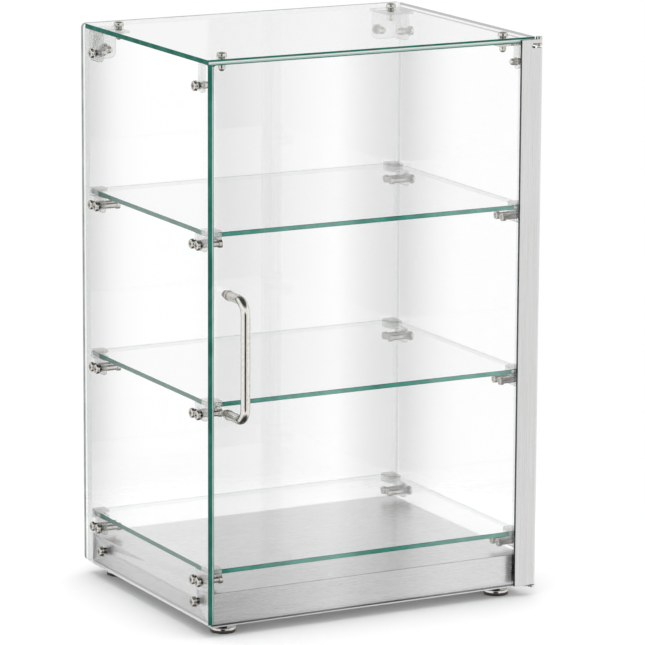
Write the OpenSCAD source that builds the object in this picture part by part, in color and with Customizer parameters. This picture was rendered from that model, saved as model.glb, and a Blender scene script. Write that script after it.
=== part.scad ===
// Countertop glass display showcase.
// Frameless glass box with three glass shelves on clear corner clips,
// a sheet steel base tray on four feet, and a side hung glass door.
// Origin: bottom centre of the whole object's box, on the surface it stands on.
// +X right, +Y back, +Z up. The door is on the -Y side and is drawn closed.

/* [Glass box] */
// Width over the two side panes
case_w = 391; // [340:1:500]
// Depth of the side panes, from their front edge to the back pane
case_d = 302; // [260:1:420]
// Height of the side panes
side_h = 599; // [520:1:800]
// Thickness of every pane and shelf
glass_t = 5; // [4:0.5:6]
// How far the back pane stands out past each side pane
back_overhang = 2; // [0:0.5:4]
// Corner radius of the back pane
back_corner_r = 5; // [2:0.5:8]

/* [Shelves] */
// Top of the upper shelf above the foot of the side panes
upper_shelf_h = 421; // [380:1:460]
// Top of the middle shelf above the foot of the side panes
middle_shelf_h = 239.5; // [200:0.5:280]
// Top of the lower shelf above the foot of the side panes
lower_shelf_h = 58; // [56:1:90]
// Gap between a shelf and each side pane
shelf_gap = 1; // [0.5:0.5:2]
// Front edge of a shelf behind the front edge of the side panes
shelf_setback = 7.6; // [7:0.1:20]

/* [Base] */
// Height of the base tray
base_h = 34.8; // [33:0.1:36]
// Height of the tray top above the foot of the side panes
base_top_h = 32.3; // [31:0.1:33]
// Front wall of the tray behind the front edge of the side panes
base_setback = 6; // [6:0.5:20]
// Sheet thickness of the tray
sheet_t = 1.2; // [1:0.1:2]
// Width of the flange folded in under the tray
base_flange_w = 38; // [36:1:50]
// Thickness of the bottom plate
plate_t = 1.5; // [1.2:0.1:2]

/* [Feet] */
// Foot of the side panes above the surface
foot_h = 14; // [12:0.5:20]
// Outer diameter of a foot
foot_d = 27; // [22:1:32]
// Foot centre from the outer face of the side pane
foot_inset_x = 28; // [24:1:36]
// Foot centre from the front edge of the side panes
foot_inset_y = 21; // [20:1:36]

/* [Door] */
// Width of the folded hinge stile
stile_w = 26.5; // [24:0.5:32]
// How far the stile stands out in front of the door glass
stile_proud = 4; // [3.5:0.1:5]
// Gap between the door glass and the left pane
door_gap = 1.5; // [1:0.1:3]
// Gap between the door glass and the top glass
door_top_gap = 0.7; // [0.5:0.1:2]
// Foot of the stile below the foot of the side panes
door_drop = 1.7; // [1:0.1:1.9]
// Pivot axis outside the outer face of the right pane
pivot_out = 4.2; // [4.1:0.1:5]
// Diameter of the pivot pins
pivot_d = 4; // [3:0.1:4.5]

/* [Handle] */
// Distance between the two legs
handle_pitch = 128; // [96:1:160]
// Diameter of the handle bar
handle_d = 10; // [8:0.5:12]
// Distance from the door glass to the middle of the grip
handle_reach = 40; // [35:1:50]
// Middle of the handle above the foot of the side panes
handle_mid_h = 291; // [200:1:400]
// Handle centre from the outer face of the left pane
handle_inset = 23.7; // [20:0.1:40]
// Bend radius of the bar, on its centre line
handle_bend_r = 15; // [12:1:18]

/* [Fasteners] */
// Diameter of a screw head
head_d = 10.6; // [9:0.1:11]
// Height of a screw head
head_h = 3.4; // [3:0.1:4]
// Diameter of a screw shank
shank_d = 5; // [4:0.1:5]
// Thickness of a washer under a screw head
washer_t = 1; // [0.5:0.1:1.5]
// Diameter of a dome nut
dome_d = 9; // [8.5:0.1:10]
// Length of a dome nut
dome_h = 8; // [7.5:0.1:9]
// Diameter of a clip barrel nut
barrel_d = 6.5; // [6.2:0.1:7]
// Length of a clip barrel nut
barrel_len = 18.5; // [16:0.5:22]

/* [Hidden] */

$fn = 48;
eps = 0.01;

// Main planes
left_x = -case_w / 2;
right_x = case_w / 2;
front_y = -case_d / 2;
back_y = case_d / 2;
foot_z = foot_h;
side_top_z = foot_z + side_h;
inner_w = case_w - 2 * glass_t;

// Shelves, from their clips' own measures
shelf_w = inner_w - 2 * shelf_gap;
shelf_front_y = front_y + shelf_setback;
shelf_rear_gap = 1.5;
shelf_rear_y = back_y - shelf_rear_gap;
shelf_hole_drop = 15;
clip_hole_near = 14.3;
clip_hole_far = 27.5;
clip_tab_t = 3;
clip_tab_drop = 22;
clip_tab_margin = 7;
clip_tab_r = 5;
clip_lip_t = 1.8;
clip_floor_t = 2.4;
clip_wall_t = 1.2;
clip_reach_x = 14;
clip_reach_y = 19.4;
clip_round_r = 9;
barrel_collar_d = 8.8;
barrel_collar_len = 4;
barrel_recess = 1;
clip_screw_len = 16;

// Distances of the clip holes, and the tops of the shelves
clip_holes_y = [
    shelf_front_y + clip_hole_near, shelf_front_y + clip_hole_far,
    shelf_rear_y - clip_hole_far, shelf_rear_y - clip_hole_near,
];
shelf_tops = [foot_z + upper_shelf_h, foot_z + middle_shelf_h, foot_z + lower_shelf_h];

// Base tray
base_bottom_z = foot_z + base_top_h - base_h;
base_front_y = front_y + base_setback;
base_rear_y = back_y - 1;
base_screw_h = 19.3;
base_screw_front = 32;
base_screw_rear = 264.5;
base_rear_screw_x = inner_w / 2 - 40;
base_screw_len = glass_t + 8;
plate_top_z = base_bottom_z;
plate_bottom_z = plate_top_z - plate_t;
plate_setback = 4;
rivet_d = 8;
rivet_len = 9;
rivet_flange_d = 11;
rivet_flange_t = 1.5;

// Corner connectors under the top glass
connector_t = 3;
flange_t = 2.4;
flange_r = 3;
flange_front = 8.5;
flange_past_screw = 10;
leg_w = 13;
boss_d = 16;
rear_leaf_drop = 35;
rear_leaf_front = 270;
rear_leaf_r = 7;
web_t = 2;
top_screw_left = 25;
top_screw_right = 30;
top_screw_front = 18;
top_screw_rear = 268;
side_screw_front = 26.5;
side_screw_rear = 280;
side_screw_drop = 25;
back_screw_inset = 26;
corner_screw_len = washer_t + glass_t + 8;
washer_d = 11.4;
base_washer_d = 12;
hole_d = 7;
screw_slack = 0.3;
thread_slack = 0.1;

// X and Y of the four screws through the top glass, and the one that holds the hinge leaf
top_screw_places = [
    [left_x + top_screw_left, front_y + top_screw_front],
    [right_x - top_screw_right, front_y + top_screw_front],
    [left_x + top_screw_left, front_y + top_screw_rear],
    [right_x - top_screw_right, front_y + top_screw_rear],
];
hinge_screw = 1;
side_screw_places = [front_y + side_screw_front, front_y + side_screw_rear];

// Door and hinge
pivot_x = right_x + pivot_out;
stile_roll_r = pivot_out - 0.4;
pivot_y = front_y - stile_proud + stile_roll_r;
stile_right_x = pivot_x + stile_roll_r;
stile_left_x = stile_right_x - stile_w;
stile_t = 1;
stile_gap = 0.3;
stile_top_z = side_top_z + 2.4;
stile_foot_z = foot_z - door_drop;
door_foot_z = foot_z - 1.5;
door_top_z = side_top_z - door_top_gap;
door_left_x = left_x + glass_t + door_gap;
door_right_x = right_x - glass_t - 2;
door_corner_r = 3;
slot_top_z = side_top_z - 1.6;
slot_bottom_z = side_top_z - 6.7;
slot_reach = 14.6;
pivot_clearance = 0.05;
leaf_t = 2.2;
leaf_top_z = side_top_z - flange_t;
leaf_bottom_z = leaf_top_z - leaf_t;
leaf_end_r = 3.6;
leaf_front_y = front_y + 7.6;
leaf_arm_w = 6.4;
leaf_pad_d = 21;
leaf_inner_x = right_x - 40;
leaf_pad_w = 28;
notch_depth = 15;
notch_h = side_top_z - leaf_bottom_z + 1;
pivot_head_d = 7.2;
pivot_head_h = 2.6;
pin_head_d = 6.6;
pin_head_h = 1.2;
pin_above = 4;
lug_angle = 150;
lug_len = 32;
bond_w_gap = 0.2;
bond_end_gap = 3;

// Handle
handle_x = left_x + handle_inset;
handle_mid_z = foot_z + handle_mid_h;
handle_leg_z = [handle_mid_z - handle_pitch / 2, handle_mid_z + handle_pitch / 2];
handle_collar_d = handle_d + 1.2;
handle_collar_len = 4;
handle_screw_d = 4;
handle_screw_head_d = 8;
handle_screw_head_h = 2.2;
handle_screw_depth = 12;
handle_washer_d = 9;
handle_washer_t = 0.8;

// Feet
pad_h = 3.4;
pad_edge_r = 0.8;
pad_pocket_z = 1.5;
disc_h = 2.8;
disc_edge_r = 1;
stud_d = 6;
stud_collar_d = 9;
stud_head_d = 10;
stud_nut_d = 11;
stud_nut_h = 5;
foot_x = case_w / 2 - foot_inset_x;
foot_y = case_d / 2 - foot_inset_y;
foot_places = [for (x = [-foot_x, foot_x], y = [-foot_y, foot_y]) [x, y]];

// Where the glass footprint's centre lies, so that the origin is the box's bottom centre
left_reach = case_w / 2 + washer_t + head_h;
right_reach = case_w / 2 + pivot_out + stile_roll_r;
front_reach = case_d / 2 + handle_reach + handle_d / 2;
back_reach = case_d / 2 + glass_t + washer_t + head_h;
case_x = (left_reach - right_reach) / 2;
case_y = (front_reach - back_reach) / 2;

steel_col = [0.80, 0.80, 0.79];
nickel_col = [0.72, 0.70, 0.66];
glass_col = [0.78, 0.90, 0.87, 0.45];
clear_col = [0.88, 0.90, 0.90, 0.6];
rubber_col = [0.10, 0.10, 0.10];
dark_col = [0.16, 0.16, 0.17];

// ---------- shared shapes ----------

// Moves a node from the glass footprint's centre to its place about the origin
module at_case() {
    translate([case_x, case_y, 0]) children();
}

// Rectangle from the origin with all four corners rounded
module round_rect(w, h, r) {
    translate([r, 0]) square([w - 2 * r, h]);
    translate([0, r]) square([w, h - 2 * r]);
    for (x = [r, w - r], y = [r, h - r])
        translate([x, y]) circle(r = r);
}

// Upright pane across the case: width along X, height along Z, front face at y
module pane_xz(x, y, z, w, h, t, r) {
    translate([x, y + t, z])
        rotate([90, 0, 0])
            linear_extrude(t) round_rect(w, h, r);
}

// Upright pane along the side: depth along Y, height along Z, left face at x
module pane_yz(x, y, z, d, h, t, r) {
    translate([x, y, z])
        rotate([90, 0, 90])
            linear_extrude(t) round_rect(d, h, r);
}

// Pan head screw along +X, under side of its head at the origin
module pan_screw(len) {
    rotate([0, -90, 0]) pan_head();
    rotate([0, 90, 0]) translate([0, 0, -eps]) cylinder(d = shank_d, h = len + eps);
}

// Head with a rounded crown and a cross recess, seat at z = 0
module pan_head() {
    crown_r = 1.6;
    recess = [5.4, 1.2, 1.8];
    difference() {
        rotate_extrude() {
            square([head_d / 2, head_h - crown_r]);
            square([head_d / 2 - crown_r, head_h]);
            translate([head_d / 2 - crown_r, head_h - crown_r]) circle(r = crown_r);
        }
        for (a = [0, 90])
            rotate([0, 0, a])
                translate([-recess[0] / 2, -recess[1] / 2, head_h - recess[2]]) cube(recess);
    }
}

// Dome nut, seat at z = 0, with a flange and a blind bore for the shank
module dome_nut() {
    body_d = dome_d - 1.4;
    flange_h = 1.6;
    collar_h = dome_h - body_d / 2;
    dome_crown = 1.8;
    difference() {
        rotate_extrude() {
            square([dome_d / 2, flange_h]);
            square([body_d / 2, collar_h]);
            intersection() {
                translate([0, collar_h]) circle(d = body_d);
                translate([0, collar_h - eps]) square([body_d, body_d]);
            }
        }
        translate([0, 0, -eps]) cylinder(d = shank_d + thread_slack, h = dome_h - dome_crown);
    }
}

module flat_washer(od, t) {
    difference() {
        cylinder(d = od, h = t);
        translate([0, 0, -eps]) cylinder(d = shank_d + screw_slack, h = t + 2 * eps);
    }
}

// Repeats its children on both sides of the case, drawn on the left
module both_sides() {
    children();
    mirror([1, 0, 0]) children();
}

// ---------- glass ----------

module side_pane() {
    difference() {
        pane_yz(left_x, front_y, foot_z, case_d, side_h, glass_t, 2);
        for (y = clip_holes_y, top = shelf_tops)
            cross_hole(y, top - shelf_hole_drop);
        for (y = [base_screw_front, base_screw_rear])
            cross_hole(front_y + y, foot_z + base_screw_h);
        for (y = side_screw_places)
            cross_hole(y, side_top_z - side_screw_drop);
    }
}

module cross_hole(y, z) {
    translate([left_x - 1, y, z]) rotate([0, 90, 0]) cylinder(d = hole_d, h = glass_t + 2);
}

module left_side_glass() color(glass_col) at_case() side_pane();

// The right pane has a notch at its top front corner for the upper hinge leaf
module right_side_glass() color(glass_col) at_case() difference() {
    mirror([1, 0, 0]) side_pane();
    translate([right_x - glass_t - 1, front_y - 1, side_top_z - notch_h])
        cube([glass_t + 2, notch_depth + 1, notch_h + 1]);
}

module back_glass() color(glass_col) at_case() difference() {
    pane_xz(left_x - back_overhang, back_y, foot_z, case_w + 2 * back_overhang,
            side_h + glass_t, glass_t, back_corner_r);
    both_sides() {
        back_hole(left_x + back_screw_inset, side_top_z - side_screw_drop);
        back_hole(-base_rear_screw_x, foot_z + base_screw_h);
    }
}

module back_hole(x, z) {
    translate([x, back_y - 1, z]) rotate([-90, 0, 0]) cylinder(d = hole_d, h = glass_t + 2);
}

module top_glass() color(glass_col) at_case() difference() {
    translate([left_x, front_y, side_top_z])
        linear_extrude(glass_t) round_rect(case_w, case_d, 2);
    for (p = top_screw_places)
        translate([p[0], p[1], side_top_z - 1]) cylinder(d = hole_d, h = glass_t + 2);
}

module shelf_glass(top) color(glass_col) at_case() {
    translate([-shelf_w / 2, shelf_front_y, foot_z + top - glass_t])
        linear_extrude(glass_t) round_rect(shelf_w, shelf_rear_y - shelf_front_y, 2);
}

module upper_shelf_glass() shelf_glass(upper_shelf_h);
module middle_shelf_glass() shelf_glass(middle_shelf_h);
module lower_shelf_glass() shelf_glass(lower_shelf_h);

// ---------- shelf clips ----------

// One clear clip, with the shelf corner's top edge at the origin:
// +X goes in over the shelf, +Y along its side edge, and the pane is at -X
module clip() {
    floor_z = -glass_t - clip_floor_t;
    tab_y = clip_hole_near - clip_tab_margin;
    tab_w = clip_hole_far - clip_hole_near + 2 * clip_tab_margin;
    difference() {
        union() {
            translate([-shelf_gap, -clip_wall_t, floor_z])
                linear_extrude(clip_lip_t - floor_z)
                    clip_outline(clip_reach_x + shelf_gap, clip_reach_y + clip_wall_t);
            translate([-shelf_gap, tab_y, -clip_tab_drop])
                rotate([90, 0, 90])
                    linear_extrude(clip_tab_t) clip_tab(tab_w, clip_tab_drop - glass_t);
        }
        translate([0, 0, -glass_t]) cube([shelf_w / 2, shelf_w / 2, glass_t]);
        for (y = [clip_hole_near, clip_hole_far])
            translate([-shelf_gap - 1, y, -shelf_hole_drop])
                rotate([0, 90, 0]) cylinder(d = shank_d + screw_slack, h = clip_tab_t + 2);
    }
}

// Plan of the clip's pocket, rounded at its inner corner
module clip_outline(w, d) {
    square([w - clip_round_r, d]);
    square([w, d - clip_round_r]);
    intersection() {
        translate([w - clip_round_r, d - clip_round_r]) circle(r = clip_round_r);
        square([w, d]);
    }
}

// Tab against the pane, rounded at its two lower corners
module clip_tab(w, h) {
    translate([clip_tab_r, 0]) square([w - 2 * clip_tab_r, h]);
    translate([0, clip_tab_r]) square([w, h - clip_tab_r]);
    for (x = [clip_tab_r, w - clip_tab_r])
        translate([x, clip_tab_r]) circle(r = clip_tab_r);
}

// Places a clip: side -1 left or 1 right, rear false or true
module clip_at(top, side, rear) color(clear_col) at_case() {
    y = rear ? shelf_rear_y : shelf_front_y;
    translate([side * shelf_w / 2, y, foot_z + top])
        mirror([side > 0 ? 1 : 0, 0, 0])
            mirror([0, rear ? 1 : 0, 0])
                clip();
}

module upper_front_left_clip() clip_at(upper_shelf_h, -1, false);
module upper_front_right_clip() clip_at(upper_shelf_h, 1, false);
module upper_rear_left_clip() clip_at(upper_shelf_h, -1, true);
module upper_rear_right_clip() clip_at(upper_shelf_h, 1, true);
module middle_front_left_clip() clip_at(middle_shelf_h, -1, false);
module middle_front_right_clip() clip_at(middle_shelf_h, 1, false);
module middle_rear_left_clip() clip_at(middle_shelf_h, -1, true);
module middle_rear_right_clip() clip_at(middle_shelf_h, 1, true);
module lower_front_left_clip() clip_at(lower_shelf_h, -1, false);
module lower_front_right_clip() clip_at(lower_shelf_h, 1, false);
module lower_rear_left_clip() clip_at(lower_shelf_h, -1, true);
module lower_rear_right_clip() clip_at(lower_shelf_h, 1, true);

// The eight screws of one shelf, heads outside the side panes
module clip_screws(top) color(nickel_col) at_case() both_sides()
    for (y = clip_holes_y)
        translate([left_x, y, foot_z + top - shelf_hole_drop]) pan_screw(clip_screw_len);

module upper_clip_screws() clip_screws(upper_shelf_h);
module middle_clip_screws() clip_screws(middle_shelf_h);
module lower_clip_screws() clip_screws(lower_shelf_h);

// The eight barrel nuts of one shelf, seated on the clips' tabs
module clip_barrels(top) color(nickel_col) at_case() both_sides()
    for (y = clip_holes_y)
        translate([left_x + glass_t + clip_tab_t, y, foot_z + top - shelf_hole_drop])
            rotate([0, 90, 0]) barrel_nut();

// Threaded sleeve with a collar and a shallow recess at its inner end
module barrel_nut() {
    difference() {
        union() {
            cylinder(d = barrel_d, h = barrel_len);
            translate([0, 0, barrel_len - barrel_collar_len])
                cylinder(d = barrel_collar_d, h = barrel_collar_len);
        }
        translate([0, 0, -eps])
            cylinder(d = shank_d + thread_slack, h = barrel_len - barrel_collar_len);
        translate([0, 0, barrel_len - barrel_recess])
            cylinder(d = shank_d, h = barrel_recess + 1);
    }
}

module upper_clip_barrels() clip_barrels(upper_shelf_h);
module middle_clip_barrels() clip_barrels(middle_shelf_h);
module lower_clip_barrels() clip_barrels(lower_shelf_h);

// ---------- corner connectors ----------

// Flange under the top glass, from the left pane inward, between two Y values
module connector_flange(y0, y1, w) {
    translate([left_x + glass_t, y0, side_top_z - flange_t])
        linear_extrude(flange_t) round_rect(w, y1 - y0, flange_r);
}

// Clearance for the screws through a connector's flange and its side leaf
module connector_screw_holes(x, y_top, y_side) {
    translate([x, y_top, side_top_z - flange_t - 1])
        cylinder(d = shank_d + screw_slack, h = flange_t + 2);
    translate([left_x + glass_t - 1, y_side, side_top_z - side_screw_drop])
        rotate([0, 90, 0]) cylinder(d = shank_d + screw_slack, h = connector_t + 2);
}

// L shaped connector of a front corner, drawn on the left: a narrow leg
// down the pane to a round boss, and a flange out to the top screw
module front_connector(inset) {
    y_side = front_y + side_screw_front;
    leg_x = left_x + glass_t;
    difference() {
        union() {
            translate([leg_x, y_side - leg_w / 2, side_top_z - side_screw_drop])
                cube([connector_t, leg_w, side_screw_drop]);
            translate([leg_x, y_side, side_top_z - side_screw_drop])
                rotate([0, 90, 0]) cylinder(d = boss_d, h = connector_t);
            connector_flange(front_y + flange_front, y_side + leg_w / 2,
                             inset + flange_past_screw - glass_t);
        }
        connector_screw_holes(left_x + inset, front_y + top_screw_front, y_side);
    }
}

module front_left_connector() color(clear_col) at_case()
    front_connector(top_screw_left);

module front_right_connector() color(clear_col) at_case()
    mirror([1, 0, 0]) front_connector(top_screw_right);

// Three way connector of a rear corner, drawn on the left
module rear_connector(inset) {
    leaf_d = case_d - rear_leaf_front;
    back_leaf_w = back_screw_inset + flange_past_screw - glass_t;
    difference() {
        union() {
            translate([left_x + glass_t, front_y + rear_leaf_front, side_top_z - rear_leaf_drop])
                rotate([90, 0, 90])
                    linear_extrude(connector_t) round_rect(leaf_d, rear_leaf_drop, rear_leaf_r);
            translate([left_x + glass_t, back_y, side_top_z - rear_leaf_drop])
                rotate([90, 0, 0])
                    linear_extrude(connector_t)
                        round_rect(back_leaf_w, rear_leaf_drop, rear_leaf_r);
            connector_flange(front_y + top_screw_rear - flange_past_screw, back_y,
                             inset + flange_past_screw - glass_t);
            rear_web(back_leaf_w / 2, rear_leaf_drop * 0.7);
        }
        connector_screw_holes(left_x + inset, front_y + top_screw_rear,
                              front_y + side_screw_rear);
        translate([left_x + back_screw_inset, back_y + 1, side_top_z - side_screw_drop])
            rotate([90, 0, 0]) cylinder(d = shank_d + screw_slack, h = connector_t + 2);
    }
}

// Triangular web that ties the three leaves of a rear connector together
module rear_web(w, h) {
    translate([left_x + glass_t + connector_t, back_y - connector_t, side_top_z - flange_t])
        rotate([0, 0, -45])
            translate([-connector_t, web_t / 2, 0])
                rotate([90, 0, 0])
                    linear_extrude(web_t)
                        polygon([[0, eps], [w + connector_t, eps], [0, -h]]);
}

module rear_left_connector() color(clear_col) at_case()
    rear_connector(top_screw_left);

module rear_right_connector() color(clear_col) at_case()
    mirror([1, 0, 0]) rear_connector(top_screw_right);

module top_corner_screws() color(nickel_col) at_case()
    for (p = top_screw_places)
        translate([p[0], p[1], side_top_z + glass_t + washer_t])
            rotate([0, 90, 0]) pan_screw(corner_screw_len);

module top_corner_washers() color(clear_col) at_case()
    for (p = top_screw_places)
        translate([p[0], p[1], side_top_z + glass_t]) flat_washer(washer_d, washer_t);

// Nuts under the flanges; the one at the front right also holds the hinge leaf
module top_corner_nuts() color(nickel_col) at_case()
    for (i = [0:3]) {
        seat = i == hinge_screw ? leaf_bottom_z : leaf_top_z;
        translate([top_screw_places[i][0], top_screw_places[i][1], seat])
            rotate([180, 0, 0]) dome_nut();
    }

module side_corner_screws() color(nickel_col) at_case() both_sides()
    for (y = side_screw_places)
        translate([left_x - washer_t, y, side_top_z - side_screw_drop])
            pan_screw(corner_screw_len);

module side_corner_washers() color(clear_col) at_case() both_sides()
    for (y = side_screw_places)
        translate([left_x - washer_t, y, side_top_z - side_screw_drop])
            rotate([0, 90, 0]) flat_washer(washer_d, washer_t);

module side_corner_nuts() color(nickel_col) at_case() both_sides()
    for (y = side_screw_places)
        translate([left_x + glass_t + connector_t, y, side_top_z - side_screw_drop])
            rotate([0, 90, 0]) dome_nut();

module back_corner_screws() color(nickel_col) at_case() both_sides()
    translate([left_x + back_screw_inset, back_y + glass_t + washer_t,
               side_top_z - side_screw_drop])
        rotate([0, 0, -90]) pan_screw(corner_screw_len);

module back_corner_nuts() color(nickel_col) at_case() both_sides()
    translate([left_x + back_screw_inset, back_y - connector_t, side_top_z - side_screw_drop])
        rotate([90, 0, 0]) dome_nut();

// Washers of all four screws in the back pane
module back_screw_washers() color(clear_col) at_case() both_sides()
    for (p = [[left_x + back_screw_inset, side_top_z - side_screw_drop],
              [-base_rear_screw_x, foot_z + base_screw_h]])
        translate([p[0], back_y + glass_t, p[1]])
            rotate([-90, 0, 0]) flat_washer(washer_d, washer_t);

// ---------- base ----------

// Folded tray: a top, four walls and a flange turned in all round underneath
module base_tray() color(steel_col) at_case() difference() {
    d = base_rear_y - base_front_y;
    opening = [inner_w - 2 * base_flange_w, d - 2 * base_flange_w, sheet_t + 2];
    translate([-inner_w / 2, base_front_y, base_bottom_z]) cube([inner_w, d, base_h]);
    translate([-inner_w / 2 + sheet_t, base_front_y + sheet_t, base_bottom_z + sheet_t])
        cube([inner_w - 2 * sheet_t, d - 2 * sheet_t, base_h - 2 * sheet_t]);
    translate([-opening[0] / 2, base_front_y + base_flange_w, base_bottom_z - 1]) cube(opening);
    both_sides() {
        for (y = [base_screw_front, base_screw_rear])
            translate([-inner_w / 2 - 1, front_y + y, foot_z + base_screw_h])
                rotate([0, 90, 0]) cylinder(d = rivet_d, h = sheet_t + 2);
        translate([-base_rear_screw_x, base_rear_y - sheet_t - 1, foot_z + base_screw_h])
            rotate([-90, 0, 0]) cylinder(d = rivet_d, h = sheet_t + 2);
    }
    for (p = foot_places)
        translate([p[0], p[1], base_bottom_z - 1])
            cylinder(d = stud_d + screw_slack, h = sheet_t + 2);
}

// Plate that closes the tray from below; its lug carries the door's lower pivot
module base_bottom_plate() color(steel_col) at_case()
    translate([0, 0, plate_bottom_z]) linear_extrude(plate_t) difference() {
        union() {
            translate([-inner_w / 2 + 1, front_y + plate_setback])
                square([inner_w - 2, base_rear_y - front_y - plate_setback]);
            translate([pivot_x, pivot_y]) circle(r = stile_roll_r);
            translate([pivot_x, pivot_y])
                rotate(lug_angle)
                    translate([0, -stile_roll_r]) square([lug_len, 2 * stile_roll_r]);
        }
        translate([pivot_x, pivot_y]) circle(d = pivot_d + 2 * eps);
        for (p = foot_places)
            translate(p) circle(d = stud_d + screw_slack);
    }

module base_side_screws() color(nickel_col) at_case() both_sides()
    for (y = [base_screw_front, base_screw_rear])
        translate([left_x - washer_t, front_y + y, foot_z + base_screw_h])
            pan_screw(base_screw_len);

module base_side_washers() color(nickel_col) at_case() both_sides()
    for (y = [base_screw_front, base_screw_rear])
        translate([left_x - washer_t, front_y + y, foot_z + base_screw_h])
            rotate([0, 90, 0]) flat_washer(base_washer_d, washer_t);

module base_rear_screws() color(nickel_col) at_case() both_sides()
    translate([-base_rear_screw_x, back_y + glass_t + washer_t, foot_z + base_screw_h])
        rotate([0, 0, -90]) pan_screw(base_screw_len);

// Threaded insert riveted into a wall of the tray
module rivet_nut() {
    difference() {
        union() {
            cylinder(d = rivet_d, h = rivet_len);
            translate([0, 0, sheet_t]) cylinder(d = rivet_flange_d, h = rivet_flange_t);
        }
        translate([0, 0, -eps])
            cylinder(d = shank_d + thread_slack, h = rivet_len + 2 * eps);
    }
}

module base_rivet_nuts() color(nickel_col) at_case() both_sides() {
    for (y = [base_screw_front, base_screw_rear])
        translate([left_x + glass_t, front_y + y, foot_z + base_screw_h])
            rotate([0, 90, 0]) rivet_nut();
    translate([-base_rear_screw_x, base_rear_y, foot_z + base_screw_h])
        rotate([90, 0, 0]) rivet_nut();
}

// ---------- feet ----------

module at_feet(z) {
    for (p = foot_places)
        translate([p[0], p[1], z]) children();
}

module foot_pads() color(rubber_col) at_case() at_feet(0)
    difference() {
        rotate_extrude() {
            square([foot_d / 2 - pad_edge_r, pad_h]);
            translate([0, pad_edge_r]) square([foot_d / 2, pad_h - pad_edge_r]);
            translate([foot_d / 2 - pad_edge_r, pad_edge_r]) circle(r = pad_edge_r);
        }
        translate([0, 0, pad_pocket_z]) cylinder(d = stud_head_d + screw_slack, h = pad_h);
    }

module foot_discs() color(nickel_col) at_case() at_feet(pad_h)
    difference() {
        rotate_extrude() {
            square([foot_d / 2, disc_h - disc_edge_r]);
            square([foot_d / 2 - disc_edge_r, disc_h]);
            translate([foot_d / 2 - disc_edge_r, disc_h - disc_edge_r]) circle(r = disc_edge_r);
        }
        translate([0, 0, -eps]) cylinder(d = stud_d + thread_slack, h = disc_h + 2 * eps);
    }

// Threaded studs with a head in the pad and a collar under the bottom plate
module foot_studs() color(dark_col) at_case() {
    collar_z = pad_h + disc_h;
    nut_top_z = base_bottom_z + sheet_t + stud_nut_h;
    at_feet(pad_pocket_z) cylinder(d = stud_head_d, h = pad_h - pad_pocket_z);
    at_feet(pad_h - eps) cylinder(d = stud_d, h = nut_top_z + 2 - pad_h);
    at_feet(collar_z) cylinder(d = stud_collar_d, h = plate_bottom_z - collar_z);
}

module foot_nuts() color(nickel_col) at_case() at_feet(base_bottom_z + sheet_t)
    difference() {
        cylinder(d = stud_nut_d, h = stud_nut_h, $fn = 6);
        translate([0, 0, -eps]) cylinder(d = stud_d + thread_slack, h = stud_nut_h + 2 * eps);
    }

// ---------- hinge hardware on the case ----------

// Steel leaf clamped under the front right connector. Its arm passes through
// the notch in the right pane, and its round end is the door's upper bearing
module top_pivot_leaf() color(steel_col) at_case()
    translate([0, 0, leaf_bottom_z]) linear_extrude(leaf_t) difference() {
        union() {
            translate([leaf_inner_x, leaf_front_y]) square([leaf_pad_w, leaf_pad_d]);
            translate([leaf_inner_x, leaf_front_y])
                square([pivot_x + leaf_end_r - leaf_inner_x, leaf_arm_w]);
            translate([pivot_x - leaf_end_r, pivot_y])
                square([2 * leaf_end_r, leaf_front_y + leaf_arm_w - pivot_y]);
            translate([pivot_x, pivot_y]) circle(r = leaf_end_r);
        }
        translate([pivot_x, pivot_y]) circle(d = pivot_d + 2 * pivot_clearance);
        translate(top_screw_places[hinge_screw]) circle(d = shank_d + screw_slack);
    }

module bottom_pivot_pin() color(nickel_col) at_case()
    translate([pivot_x, pivot_y, plate_bottom_z - pin_head_h]) {
        cylinder(d = pin_head_d, h = pin_head_h);
        cylinder(d = pivot_d, h = pin_head_h + plate_t + pin_above);
    }

module bottom_pivot_washer() color(rubber_col) at_case()
    translate([pivot_x, pivot_y, plate_top_z]) difference() {
        cylinder(r = leaf_end_r, h = stile_foot_z - plate_top_z);
        translate([0, 0, -eps])
            cylinder(d = pivot_d + thread_slack, h = stile_foot_z - plate_top_z + 2 * eps);
    }

// ---------- door ----------

module door_glass() color(glass_col) at_case() difference() {
    pane_xz(door_left_x, front_y, door_foot_z, door_right_x - door_left_x,
            door_top_z - door_foot_z, glass_t, door_corner_r);
    for (z = handle_leg_z)
        translate([handle_x, front_y - 1, z])
            rotate([-90, 0, 0]) cylinder(d = handle_screw_d + 1, h = glass_t + 2);
}

// Section of the stile, from its folded left return to its rolled right edge
module stile_section() {
    channel_w = pivot_x - stile_left_x - stile_t;
    difference() {
        stile_cap();
        translate([stile_left_x + stile_t, front_y - stile_proud + stile_t])
            square([channel_w, 2 * stile_roll_r]);
        translate([pivot_x, pivot_y]) circle(r = stile_roll_r - stile_t);
    }
}

// Plan of the caps that close the stile at both ends
module stile_cap() {
    translate([stile_left_x, front_y - stile_proud])
        square([pivot_x - stile_left_x, stile_proud - stile_gap]);
    translate([pivot_x, pivot_y]) circle(r = stile_roll_r);
}

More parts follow.
